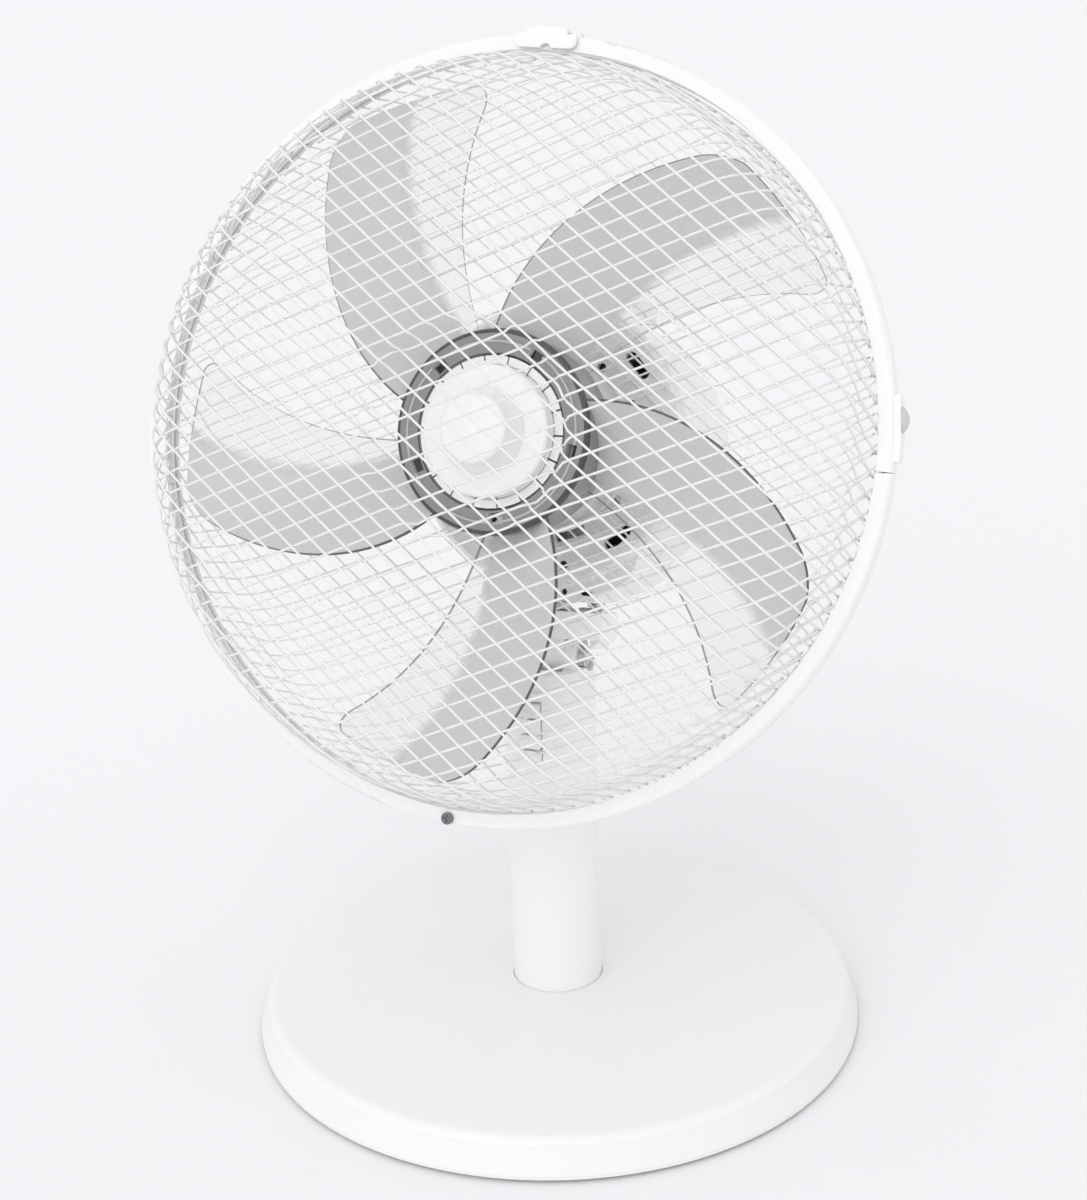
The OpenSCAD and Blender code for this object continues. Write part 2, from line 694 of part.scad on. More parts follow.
// Pins through the two joint blocks; only the right-hand one has a domed cap
module joint_buttons() color("dimgray") in_head() {
    for (a = [button_a, button_a + 180]) rotate([0, 0, a])
        translate([ring_r - 2, 0, ring_s]) rotate([0, 90, 0]) cylinder(r = 2, h = a > 90 ? 4 : 4.2);
    rotate([0, 0, button_a]) translate([ring_r + 2.05, 0, ring_s]) rotate([0, 90, 0]) intersection() {
        translate([0, 0, -4.5]) sphere(r = 7.1);
        cylinder(r = 5.5, h = 10);
    }
}

module ring_screw() color("dimgray") in_head() rotate([0, 0, clip_a])
    translate([0, -ring_in - 4.2, ring_s + ring_half + eps]) rotate([180, 0, 0]) screw(1.2, 9, 2.75, 1.3);

module ring_clip() color("white") in_head() difference() {
    rotate([0, 0, clip_a]) union() {
        // top plate, front plate with rounded ends, and the finger tab
        translate([-9.4, ring_r + 0.4, ring_s - ring_half + 3.5]) cube([18.8, 1.2, 2 * ring_half - 1]);
        translate([-7, ring_r + 1.4, ring_s + 2]) cube([14, 1.8, 3]);
        translate([0, 0, ring_s + ring_half + 0.5]) linear_extrude(2) union() {
            translate([-11, ring_in + 0.2]) square([22, 6]);
            for (x = [-11, 11]) translate([x, ring_in + 3.2]) circle(r = 3, $fn = 32);
            translate([-14, ring_in + 3.2]) square([28, 3]);
            translate([-9.4, ring_in + 4]) square([18.8, 4]);
        }
        // hinge barrel between the lugs
        translate([-7.6, ring_r + 1.2, ring_s - ring_half - 1]) rotate([0, 90, 0])
            cylinder(r = 2.2, h = 15.2);
        translate([-7.6, ring_r + 0.9, ring_s - ring_half - 1]) cube([15.2, 1.5, 5]);
    }
    rotate([0, 0, clip_a]) translate([0, ring_in - 0.5, ring_s + ring_half - 1]) cylinder(r = 2.6, h = 6);
    clip_axis(1 + gap, 40);
}

module clip_pin() color("silver") in_head() clip_axis(1, 23);

// ---- Impeller ----

// Edges of a blade against radius: angle about the fan axis and position along it
function front_angle(r) = 165 - 41 * (r - hub_r) / (tip_r - hub_r);
function rear_angle(r) = 113.5 - 16.5 * pow(max(0, r - hub_r) / 110, 1.6);
function front_s(r) = 61 - 1.5 * (r - hub_r) / (tip_r - hub_r);
function rear_s(r) = 36 + 8 * (r - hub_r) / (tip_r - hub_r);
function span_r(i) = blade_root + (tip_r - blade_root) * sin(90 * i / span_steps);
function corner(r) = let (q = max(0, r - tip_r + tip_round) / tip_round)
    tip_round * (1 - sqrt(1 - min(1, q * q)));

function blade_point(i, j, side) = let (
    r = span_r(i),
    chord = PI * r * (front_angle(r) - rear_angle(r)) / 180,
    trim = corner(r) / chord,
    u = trim + (1 - 2 * trim) * j / chord_steps,
    a = front_angle(r) + u * (rear_angle(r) - front_angle(r)),
    s = front_s(r) + (rear_s(r) - front_s(r)) * (u + 0.5 * u * (1 - u)))
    [r * cos(a), r * sin(a), s + side * blade_t / 2];

module blade() {
    row = chord_steps + 1;
    page = row * (span_steps + 1);
    polyhedron(
        points = [for (side = [1, -1], i = [0:span_steps], j = [0:chord_steps]) blade_point(i, j, side)],
        faces = concat(
            [for (i = [0:span_steps - 1], j = [0:chord_steps - 1]) let (p = i * row + j)
                each [[p, p + row, p + 1], [p + 1, p + row, p + row + 1]]],
            [for (i = [0:span_steps - 1], j = [0:chord_steps - 1]) let (p = page + i * row + j)
                each [[p, p + 1, p + row], [p + 1, p + row + 1, p + row]]],
            [for (p = [0:chord_steps - 1]) each [[p, p + 1, p + page], [p + 1, p + page + 1, p + page]]],
            [for (j = [0:chord_steps - 1]) let (p = span_steps * row + j)
                each [[p, p + page, p + 1], [p + 1, p + page, p + page + 1]]],
            [for (i = [0:span_steps - 1]) let (p = i * row)
                each [[p, p + page, p + row], [p + row, p + page, p + page + row]]],
            [for (i = [0:span_steps - 1]) let (p = i * row + chord_steps)
                each [[p, p + row, p + page], [p + row, p + page + row, p + page]]]),
        convexity = 6);
}

// Hub: a cup open at the back, with a stepped rim, a ribbed recess round the nut and a core on the shaft
module hub() difference() {
    union() {
        difference() {
            rotate_extrude() polygon([[0, hub_rear], [hub_r - 1.5, hub_rear], [hub_r, hub_front - 3],
                [hub_r - 1.5, hub_front - 0.8], [hub_r - 5.5, hub_front], [hub_r - 6, hub_front - 1],
                [34, hub_front - 1], [34, 52], [0, 52]]);
            translate([0, 0, hub_rear - 1]) cylinder(r = hub_r - 4, h = 20);
            tube(hub_r - 4, 36, hub_rear, 58 - hub_rear);
        }
        translate([0, 0, 34]) cylinder(r = 10, h = 65.9 - 34);
        for (i = [0:23]) rotate([0, 0, i * 15]) translate([9, -0.6, 51]) cube([26, 1.2, 9]);
        for (i = [0:9]) rotate([0, 0, i * 36]) translate([9, -0.8, 40]) cube([34, 1.6, 10.5]);
    }
    translate([0, 0, 20]) cylinder(r = shaft_r + gap, h = 60);
    // moulding notches beside each blade root
    for (i = [0:blades - 1]) rotate([0, 0, 134 + i * 360 / blades])
        translate([35.4, -3.5, 55]) cube([5, 7, 12]);
    // slot that drives on the cross pin
    translate([-12, -1.6, 30]) cube([24, 3.2, 8]);
}

module impeller() color([0.45, 0.47, 0.5, 0.75]) in_head() union() {
    hub();
    for (i = [0:blades - 1]) rotate([0, 0, i * 360 / blades]) blade();
}

// Outline of the nut: flange in the hub's recess, grip rim, sloping face and knob
nut_outline = concat(
    [[0, 66], [25, 66], [25, 60.6], [nut_flange_r, 60.6], [nut_flange_r, 62.8], [28.2, 62.8], [28.2, 66]],
    [[29, 66.8], [29, 69.8], [28.2, 70.6], [24, 71.2], [19.2, 71.4], [18.6, 74]],
    [for (a = [0:30:90]) [13.4 + 2 * cos(a), 82.5 + 2 * sin(a)]],
    [[0, 84.8]]);

module impeller_nut() color("white") in_head() difference() {
    rotate_extrude() polygon(nut_outline);
    translate([0, 0, 60]) cylinder(r = shaft_r + gap, h = 18);
    tube(26, 12, 60, 8.5);
    // groove and slots that divide the flange into segments
    tube(29.8, 29.1, 61.4, 2);
    for (i = [0:17]) rotate([0, 0, i * 20]) translate([28.8, -0.4, 60]) cube([6, 0.8, 4]);
}

module motor_shaft() color("silver") in_head() difference() {
    union() {
        translate([0, 0, -82]) cylinder(r = shaft_r, h = 82 + 76);
        translate([0, 0, -99]) cylinder(r = 2.15, h = 20);
    }
    translate([-10, 0, 35.4]) rotate([0, 90, 0]) cylinder(r = 1.25 + gap, h = 20);
}

module cross_pin() color("silver") in_head()
    translate([-9, 0, 35.4]) rotate([0, 90, 0]) cylinder(r = 1.25, h = 18);

module rotor() color("slategray") in_head() tube(rotor_r, shaft_r + eps, stator_rear_s - 1, 26);

base_cover();
base_plate();
base_weight();
rubber_feet();
base_screws();
cord_grommet();
column();
column_screws();
control_bezel();
key_off();
key_low();
key_medium();
key_high();
switch_block();
run_capacitor();
tilt_bolt();
tilt_nut();
tilt_neck();
pivot_bush();
pivot_screw();
link_arm();
oscillation_post();
motor_front_cover();
motor_rear_cover();
cover_screws();
front_shield();
rear_shield();
tie_bolts();
stator();
windings();
front_bush();
rear_bush();
gearbox();
rear_grille();
rear_rim();
grille_nut();
front_grille();
front_rim();
upper_ring();
lower_ring();
joint_buttons();
ring_screw();
ring_clip();
clip_pin();
oscillation_knob();
impeller();
impeller_nut();
motor_shaft();
cross_pin();
rotor();
worm();
worm_wheel();
crank_arm();
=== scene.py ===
"""Desk fan: the looks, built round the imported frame.

Everything on the head is placed in the head's own millimetres: x to the right, y up the head and
s forward along the fan axis. head_point() turns them into the row frame.
"""

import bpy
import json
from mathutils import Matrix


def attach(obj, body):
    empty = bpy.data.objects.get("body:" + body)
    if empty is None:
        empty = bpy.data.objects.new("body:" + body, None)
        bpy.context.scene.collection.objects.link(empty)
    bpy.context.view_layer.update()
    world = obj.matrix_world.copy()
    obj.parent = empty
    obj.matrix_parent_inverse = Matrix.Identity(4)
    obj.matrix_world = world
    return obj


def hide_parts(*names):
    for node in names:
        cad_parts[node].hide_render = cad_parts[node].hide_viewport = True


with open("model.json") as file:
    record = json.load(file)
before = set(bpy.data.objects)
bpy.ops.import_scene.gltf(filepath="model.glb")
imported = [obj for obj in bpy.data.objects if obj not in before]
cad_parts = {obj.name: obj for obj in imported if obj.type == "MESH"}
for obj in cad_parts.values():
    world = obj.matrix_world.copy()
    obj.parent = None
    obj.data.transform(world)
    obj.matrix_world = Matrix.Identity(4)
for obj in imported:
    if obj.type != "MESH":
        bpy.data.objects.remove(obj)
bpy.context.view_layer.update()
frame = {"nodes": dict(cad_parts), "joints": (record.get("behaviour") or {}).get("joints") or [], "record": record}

import json
import math

import bpy
from mathutils import Matrix, Vector

nodes = frame["nodes"]
joints = {j["name"]: j for j in frame["joints"]}
colours = {m["slot"]: m["base_color"] for m in frame["record"]["materials"]}
slot_of = {p["node"]: p["material_slot"] for p in frame["record"]["subparts"]}

# ---- The head's own frame ----

AXIS_POINT = Vector(joints["blade_spin"]["pos_m"])
FORWARD = Vector(joints["blade_spin"]["axis"]).normalized()
RIGHT = Vector((1, 0, 0))
HEAD_UP = FORWARD.cross(RIGHT)
MM = 0.001


def head_point(x, y, s):
    return AXIS_POINT + (RIGHT * x + HEAD_UP * y + FORWARD * s) * MM


def polar_point(r, degrees, s):
    a = math.radians(degrees)
    return head_point(r * math.cos(a), r * math.sin(a), s)


# ---- Mesh helpers ----

def add_object(name, verts, faces, smooth=True):
    mesh = bpy.data.meshes.new(name)
    mesh.from_pydata([tuple(v) for v in verts], [], faces)
    mesh.update()
    if smooth:
        mesh.polygons.foreach_set("use_smooth", [True] * len(mesh.polygons))
    obj = bpy.data.objects.new(name, mesh)
    bpy.context.scene.collection.objects.link(obj)
    return obj


def apply_modifiers(obj):
    graph = bpy.context.evaluated_depsgraph_get()
    done = bpy.data.meshes.new_from_object(obj.evaluated_get(graph))
    obj.modifiers.clear()
    obj.data = done
    return obj


def smooth_by_angle(obj, degrees=35):
    obj.data.polygons.foreach_set("use_smooth", [True] * len(obj.data.polygons))
    obj.data.set_sharp_from_angle(angle=math.radians(degrees))
    return obj


def place(obj, body, slot, material, *replaced):
    zones = [p.material_index for p in obj.data.polygons]
    obj.data.materials.clear()
    for each in material if isinstance(material, list) else [material]:
        obj.data.materials.append(each)
    obj.data.polygons.foreach_set("material_index", zones)
    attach(obj, body)
    if replaced:
        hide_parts(*replaced)
    return obj


# Tube along a path: each point comes with the surface's normal there, which keeps the tube untwisted
def add_tube(verts, faces, path, normals, radius, sides):
    first = len(verts)
    for i, (point, normal) in enumerate(zip(path, normals)):
        along = (path[min(i + 1, len(path) - 1)] - path[max(i - 1, 0)]).normalized()
        side = along.cross(normal).normalized()
        up = side.cross(along)
        for k in range(sides):
            a = 2 * math.pi * k / sides
            verts.append(point + (side * math.cos(a) + up * math.sin(a)) * radius)
    for i in range(len(path) - 1):
        for k in range(sides):
            a = first + i * sides + k
            b = first + i * sides + (k + 1) % sides
            faces.append((a, b, b + sides, a + sides))
    faces.append(tuple(first + k for k in reversed(range(sides))))
    faces.append(tuple(first + (len(path) - 1) * sides + k for k in range(sides)))


# Solid turned about the fan axis from a closed outline of (radius, s) points
def add_turned(name, outline, segments=160, zones=None):
    verts, faces, zone_of = [], [], []
    n = len(outline)
    for k in range(segments):
        for r, s in outline:
            verts.append(polar_point(r, 360 * k / segments, s))
    for k in range(segments):
        for i in range(n):
            a = k * n + i
            b = k * n + (i + 1) % n
            c = ((k + 1) % segments) * n
            faces.append((a, c + i, c + (i + 1) % n, b))
            zone_of.append(zones[i] if zones else 0)
    obj = add_object(name, verts, faces)
    obj.data.polygons.foreach_set("material_index", zone_of)
    return obj


# ---- Materials ----

class Shader:
    """A node material under construction, with its Principled BSDF at hand."""

    def __init__(self, name):
        self.material = bpy.data.materials.new(name)
        self.material.use_nodes = True
        self.tree = self.material.node_tree
        self.bsdf = self.tree.nodes["Principled BSDF"]
        self.coords = self.tree.nodes.new("ShaderNodeTexCoord").outputs["Object"]

    def set(self, **values):
        for key, value in values.items():
            self.bsdf.inputs[key.replace("_", " ")].default_value = value

    def link(self, a, b):
        self.tree.links.new(a, b)

    def noise(self, scale, detail=3.0, rough=0.5, stretch=None):
        node = self.tree.nodes.new("ShaderNodeTexNoise")
        node.inputs["Scale"].default_value = scale
        node.inputs["Detail"].default_value = detail
        node.inputs["Roughness"].default_value = rough
        source = self.coords
        if stretch:
            mapping = self.tree.nodes.new("ShaderNodeMapping")
            mapping.inputs["Scale"].default_value = stretch
            self.link(self.coords, mapping.inputs["Vector"])
            source = mapping.outputs["Vector"]
        self.link(source, node.inputs["Vector"])
        return node.outputs["Fac"]

    def ramp(self, fac, low, high, start=0.35, end=0.65):
        node = self.tree.nodes.new("ShaderNodeMapRange")
        node.inputs["From Min"].default_value = start
        node.inputs["From Max"].default_value = end
        node.inputs["To Min"].default_value = low
        node.inputs["To Max"].default_value = high
        self.link(fac, node.inputs["Value"])
        return node.outputs["Result"]

    def mix(self, fac, dark, light):
        node = self.tree.nodes.new("ShaderNodeMix")
        node.data_type = "RGBA"
        node.inputs["A"].default_value = (*dark, 1)
        node.inputs["B"].default_value = (*light, 1)
        self.link(fac, node.inputs["Factor"])
        return node.outputs["Result"]

    def bump(self, height, strength, distance):
        node = self.tree.nodes.new("ShaderNodeBump")
        node.inputs["Strength"].default_value = strength
        node.inputs["Distance"].default_value = distance
        self.link(height, node.inputs["Height"])
        self.link(node.outputs["Normal"], self.bsdf.inputs["Normal"])


def tint(colour, factor):
    return tuple(max(0.0, min(1.0, c * factor)) for c in colour[:3])


def moulded(name, colour, rough=0.32, spread=0.012, grain=900, depth=0.00002, strength=0.25):
    """Moulded plastic: faint flow marks in its colour, uneven gloss and a fine orange peel."""
    s = Shader(name)
    flow = s.mix(s.noise(14, 2), tint(colour, 1 - spread), tint(colour, 1 + spread * 0.4))
    s.link(flow, s.bsdf.inputs["Base Color"])
    s.link(s.ramp(s.noise(38, 4), rough - 0.03, rough + 0.03), s.bsdf.inputs["Roughness"])
    s.set(Specular_IOR_Level=0.5)
    s.bump(s.noise(grain, 2), strength, depth)
    return s.material


def coated(name, colour, rough=0.4):
    """Powder or lacquer coat on metal: slight sags and a fine grain."""
    s = Shader(name)
    s.link(s.mix(s.noise(60, 3), tint(colour, 0.95), tint(colour, 1.02)), s.bsdf.inputs["Base Color"])
    s.link(s.ramp(s.noise(120, 3), rough - 0.06, rough + 0.1), s.bsdf.inputs["Roughness"])
    s.bump(s.noise(1500, 3), 0.3, 0.00003)
    return s.material


def metal(name, colour, rough=0.3, stretch=(40, 40, 900)):
    """Bare metal with drawn or turned scratches."""
    s = Shader(name)
    s.set(Metallic=1.0)
    s.link(s.mix(s.noise(30, 3), tint(colour, 0.86), tint(colour, 1.06)), s.bsdf.inputs["Base Color"])
    s.link(s.ramp(s.noise(1, 4, 0.6, stretch), rough - 0.08, rough + 0.16), s.bsdf.inputs["Roughness"])
    s.bump(s.noise(1, 4, 0.6, stretch), 0.2, 0.00002)
    return s.material


def rubber(name, colour):
    s = Shader(name)
    s.link(s.mix(s.noise(90, 4), tint(colour, 0.8), tint(colour, 1.5)), s.bsdf.inputs["Base Color"])
    s.link(s.ramp(s.noise(200, 3), 0.7, 0.9), s.bsdf.inputs["Roughness"])
    s.bump(s.noise(1300, 4), 0.5, 0.00008)
    return s.material


def wound(name, colour):
    """Enamelled wire laid in turns."""
    s = Shader(name)
    wave = s.tree.nodes.new("ShaderNodeTexWave")
    wave.inputs["Scale"].default_value = 320
    wave.inputs["Distortion"].default_value = 1.5
    s.link(s.coords, wave.inputs["Vector"])
    s.link(s.mix(wave.outputs["Fac"], tint(colour, 0.6), tint(colour, 1.2)), s.bsdf.inputs["Base Color"])
    s.set(Metallic=0.7, Roughness=0.35)
    s.bump(wave.outputs["Fac"], 0.6, 0.0003)
    return s.material


def laminated(name, colour):
    """Stacked steel sheets: fine bands across the fan axis."""
    s = Shader(name)
    s.set(Metallic=1.0)
    bands = s.noise(1, 1, 0.4, (5, 2200, 700))
    s.link(s.mix(bands, tint(colour, 0.6), tint(colour, 1.1)), s.bsdf.inputs["Base Color"])
    s.link(s.ramp(s.noise(80, 3), 0.35, 0.55), s.bsdf.inputs["Roughness"])
    s.bump(bands, 0.4, 0.0001)
    return s.material


def smoky(name, colour):
    """Translucent blade plastic: towards the rear edge it turns see-through, a painted highlight for the light the
    curved blade reflects there, and its outline is painted dark as painted shade.
    The vertex value "blade_glint_fade" runs from 0, in the painted highlight, to 1, full colour, and
    "blade_outline_shade" is 1 on the painted dark outline."""
    s = Shader(name)
    glint_fade = s.tree.nodes.new("ShaderNodeAttribute")
    glint_fade.attribute_name = "blade_glint_fade"
    rim = s.tree.nodes.new("ShaderNodeAttribute")
    rim.attribute_name = "blade_outline_shade"
    body = s.mix(s.noise(9, 2), tint(colour, 0.97), tint(colour, 1.03))
    # painted shade: the blade's outline is mixed towards near black
    node = s.tree.nodes.new("ShaderNodeMix")
    node.data_type = "RGBA"
    node.inputs["B"].default_value = (*tint(colour, 0.18), 1)
    s.link(body, node.inputs["A"])
    s.link(rim.outputs["Fac"], node.inputs["Factor"])
    s.link(node.outputs["Result"], s.bsdf.inputs["Base Color"])
    s.link(s.ramp(s.noise(25, 3), 0.2, 0.3), s.bsdf.inputs["Roughness"])
    # painted highlight: where the fade value falls to 0 the blade goes see-through
    alpha = s.tree.nodes.new("ShaderNodeMath")
    alpha.operation = "MAXIMUM"
    s.link(s.ramp(glint_fade.outputs["Fac"], 0.10, 0.92, 0, 1), alpha.inputs[0])
    s.link(s.ramp(rim.outputs["Fac"], 0, 0.75, 0, 1), alpha.inputs[1])
    s.link(alpha.outputs["Value"], s.bsdf.inputs["Alpha"])
    s.bump(s.noise(700, 2), 0.1, 0.00002)
    return s.material


RECIPES = {
    "base_plastic": lambda c: moulded("base_plastic", c, rough=0.42, grain=1100, strength=0.35),
    "column_plastic": lambda c: moulded("column_plastic", tint(c, 0.965), rough=0.42, spread=0.006),
    "key_plastic": lambda c: moulded("key_plastic", c, rough=0.45, grain=1600),
    "off_key_plastic": lambda c: moulded("off_key_plastic", c, rough=0.45, grain=1600),
    "plate_plastic": lambda c: moulded("plate_plastic", c, rough=0.55, spread=0.1, grain=1400),
    "weight_steel": lambda c: coated("weight_steel", c, rough=0.5),
    "foot_rubber": lambda c: rubber("foot_rubber", c),
    "grommet_rubber": lambda c: rubber("grommet_rubber", c),
    "screw_steel": lambda c: metal("screw_steel", c, rough=0.28),
    "capacitor_case": lambda c: moulded("capacitor_case", c, rough=0.5, spread=0.15, grain=1500),
    "neck_plastic": lambda c: moulded("neck_plastic", c, rough=0.34),
    "bush_bronze": lambda c: metal("bush_bronze", c, rough=0.45, stretch=(300, 300, 300)),
    "link_steel": lambda c: metal("link_steel", c, rough=0.35, stretch=(700, 60, 60)),
    "post_steel": lambda c: metal("post_steel", c, rough=0.25, stretch=(60, 60, 1200)),
    "motor_plastic": lambda c: moulded("motor_plastic", c, rough=0.36, grain=1000),
    "shield_metal": lambda c: metal("shield_metal", c, rough=0.5, stretch=(160, 160, 160)),
    "stator_steel": lambda c: laminated("stator_steel", c),
    "winding_copper": lambda c: wound("winding_copper", c),
    "rotor_aluminium": lambda c: metal("rotor_aluminium", c, rough=0.4, stretch=(200, 200, 200)),
    "shaft_steel": lambda c: metal("shaft_steel", c, rough=0.16, stretch=(900, 30, 30)),
    "worm_brass": lambda c: metal("worm_brass", c, rough=0.25, stretch=(400, 400, 400)),
    "gear_nylon": lambda c: moulded("gear_nylon", c, rough=0.5, spread=0.05),
    "front_mesh": lambda c: coated("front_mesh", tint(c, 0.92), rough=0.35),
    "rear_mesh": lambda c: coated("rear_mesh", c, rough=0.4),
    "nut_plastic": lambda c: moulded("nut_plastic", c, rough=0.4),
    "ring_plastic": lambda c: moulded(
        "ring_plastic", tint(c, 0.94), rough=0.26, grain=700, strength=0.15),
    "button_plastic": lambda c: moulded("button_plastic", c, rough=0.5, spread=0.08, grain=1800),
    "ring_screw_steel": lambda c: metal("ring_screw_steel", c, rough=0.4),
    "knob_plastic": lambda c: moulded("knob_plastic", c, rough=0.35),
    "impeller_plastic": lambda c: smoky("impeller_plastic", tint(c, 0.93)),
    "spinner_plastic": lambda c: moulded("spinner_plastic", c, rough=0.2, grain=700, strength=0.15),
}
materials = {slot: recipe(colours[slot]) for slot, recipe in RECIPES.items()}

for node_name, obj in nodes.items():
    obj.data.materials.clear()
    obj.data.materials.append(materials[slot_of[node_name]])

# ---- Cage wires ----

WIRE_R = 0.55
REAR_WIRE_R = 0.5
WIRE_DEPTH = 0.05        # how far the outer set lies inside the CAD sheet's face
CROSS = 0.55             # how far each set of wires stands off the other, either way
CELL = 10.2              # side of a diamond cell
FAMILY_DEG = (-37.9, 23.4)
WIRE_STEP = 3.4
WIRE_SIDES = 6
EDGE_MARGIN = 4.0        # the last wire keeps this far inside the rim
PLATE_R = 42.0           # rear centre plate
PLATE_BORE = 20.6
PLATE_S = -7.6           # its rear face
PLATE_T = 0.6
RECESS_R = 45.5          # sunken centre disc of the front mesh


def arc(cx, cs, r, start, end, steps=8):
    for i in range(steps + 1):
        a = math.radians(start + (end - start) * i / steps)
        yield cx + r * math.cos(a), cs + r * math.sin(a)


# Outer faces of the two meshes, from the middle of the cage out to its rim
FRONT_PROFILE = [
    (0, 94.5), (20, 94.3), (RECESS_R - 2, 93.5), (RECESS_R - 1, 93.9), (RECESS_R + 1, 97.5),
    (RECESS_R + 2.5, 97.9), (60, 97.3), (80, 96.2), (100, 94.9), (120, 93.3), (135, 92.2),
    *arc(140.5, 69, 22.5, 80, 5),
    (163.2, 67), (164.6, 62), (166.8, 56), (167.4, 53)]
REAR_PROFILE = [
    (0, -7.7), (PLATE_R, -7.6), (64, -5.5), (90, -4.3), (120, -2.1),
    *arc(141, 26, 25, -78, -8), (165.6, 30), (167.1, 38), (167.5, 45)]


class Profile:
    """A turned surface's outline, walked by its length from the middle."""

    def __init__(self, points, outward):
        self.points = points
        self.outward = outward
        self.at = [0.0]
        for (r0, s0), (r1, s1) in zip(points, points[1:]):
            self.at.append(self.at[-1] + math.hypot(r1 - r0, s1 - s0))

    def where(self, length):
        """Radius, s and the outward normal (along radius, along s) at this length."""
        i = 0
        while i < len(self.at) - 2 and self.at[i + 1] < length:
            i += 1
        (r0, s0), (r1, s1) = self.points[i], self.points[i + 1]
        span = self.at[i + 1] - self.at[i]
        f = (length - self.at[i]) / span
        nr, ns = -(s1 - s0) / span, (r1 - r0) / span
        return r0 + (r1 - r0) * f, s0 + (s1 - s0) * f, nr * self.outward, ns * self.outward


def wire_runs(profile, hole, inset, offset, degrees):
    """One wire, laid straight at this offset in the flat sheet: its runs of points and normals on the
    drawn shape, broken by the centre hole."""
    reach = profile.at[-1]
    u = (math.cos(math.radians(degrees)), math.sin(math.radians(degrees)))
    v = (-u[1], u[0])
    half = math.sqrt(reach * reach - offset * offset)
    steps = max(4, int(2 * half / WIRE_STEP))
    runs, path, normals = [], [], []
    for i in range(steps + 1):
        t = -half + 2 * half * i / steps
        x, y = offset * v[0] + t * u[0], offset * v[1] + t * u[1]
        rho = math.hypot(x, y)
        if rho < hole:
            runs.append((path, normals))
            path, normals = [], []
            continue
        a = math.atan2(y, x)
        r, s, nr, ns = profile.where(min(rho, reach))
        r, s = r - nr * inset, s - ns * inset
        path.append(head_point(r * math.cos(a), r * math.sin(a), s))
        normals.append((RIGHT * math.cos(a) + HEAD_UP * math.sin(a)) * nr + FORWARD * ns)
    runs.append((path, normals))
    return [run for run in runs if len(run[0]) > 2]


def wires_on(profile, hole, radius):
    """The two sets of crossing wires, straight in the flat sheet that is drawn into the cage's shape."""
    verts, faces = [], []
    reach = profile.at[-1]
    pitch = CELL * math.sin(math.radians(FAMILY_DEG[1] - FAMILY_DEG[0]))
    count = int(reach / pitch)
    for degrees, lift in zip(FAMILY_DEG, (-CROSS, CROSS)):
        inset = WIRE_DEPTH + radius + CROSS + lift
        for k in range(-count, count + 1):
            offset = (k + 0.5) * pitch
            if abs(offset) > reach - EDGE_MARGIN:
                continue
            for path, normals in wire_runs(profile, hole, inset, offset, degrees):
                add_tube(verts, faces, path, normals, radius * MM, WIRE_SIDES)
    return verts, faces


def build_front_mesh():
    drawn = wires_on(Profile(FRONT_PROFILE, 1), 0, WIRE_R)
    wires = add_object("front_mesh_wires", *drawn)
    place(wires, "head", "front_mesh", materials["front_mesh"], "front_grille")


def build_rear_mesh():
    drawn = wires_on(Profile(REAR_PROFILE, -1), PLATE_R - 2, REAR_WIRE_R)
    wires = add_object("rear_mesh_wires", *drawn)
    place(wires, "head", "rear_mesh", materials["rear_mesh"], "rear_grille")
    # flat sheet with its rim rolled forward
    outline = [
        (PLATE_BORE, PLATE_S), (PLATE_R - 1, PLATE_S), (PLATE_R + 0.4, PLATE_S + 0.4),
        (PLATE_R + 0.8, PLATE_S + 1.2), (PLATE_R + 0.4, PLATE_S + 1.8), (PLATE_R - 0.6, PLATE_S + 2),
        (PLATE_R - 1, PLATE_S + PLATE_T), (PLATE_BORE, PLATE_S + PLATE_T)]
    plate = smooth_by_angle(add_turned("rear_mesh_plate", outline))
    place(plate, "head", "rear_mesh", materials["rear_mesh"])


# ---- Impeller ----

HUB_R = 45.5
HUB_FRONT = 64.0
HUB_REAR = 30.0
BORE_R = 4.2
CUP_S = 52.0              # floor of the cup in the hub's front
RIBS = 24                 # in the cup
WEBS = 10                 # behind it
NOTCH_START = 134.0       # angle of the first notch in the hub's front rim
TIP_R = 157.0
TIP_ROUND = 11.0
BLADES = 5
BLADE_T = 1.5
FRONT_EDGE_ROOT = 165.0   # angle of the front edge at the hub
FRONT_EDGE_SWEEP = 41.0   # how far it swings round to the tip
REAR_EDGE_ROOT = 113.5
REAR_EDGE_SWEEP = 16.5
REAR_EDGE_REACH = 110.0   # length over which the rear edge swings by that much
REAR_EDGE_CURVE = 1.6
FRONT_EDGE_S = 61.0
FRONT_EDGE_DROP = 1.5     # how much further back its tip lies
REAR_EDGE_S = 36.0
REAR_EDGE_RISE = 8.0
CAMBER = 0.5
# Painted highlight: behind the full-colour share of the chord the blade turns see-through, standing in for light
# reflected off its curve
SOLID_ROOT = 0.86         # share of the chord that is full colour at the hub
SOLID_LOSS = 0.38         # how much less of it at the tip
FADE_WIDTH = 0.1


def front_angle(r):
    return FRONT_EDGE_ROOT - FRONT_EDGE_SWEEP * (r - HUB_R) / (TIP_R - HUB_R)


def rear_angle(r):
    along = max(0.0, (r - HUB_R) / REAR_EDGE_REACH)
    return REAR_EDGE_ROOT - REAR_EDGE_SWEEP * along ** REAR_EDGE_CURVE


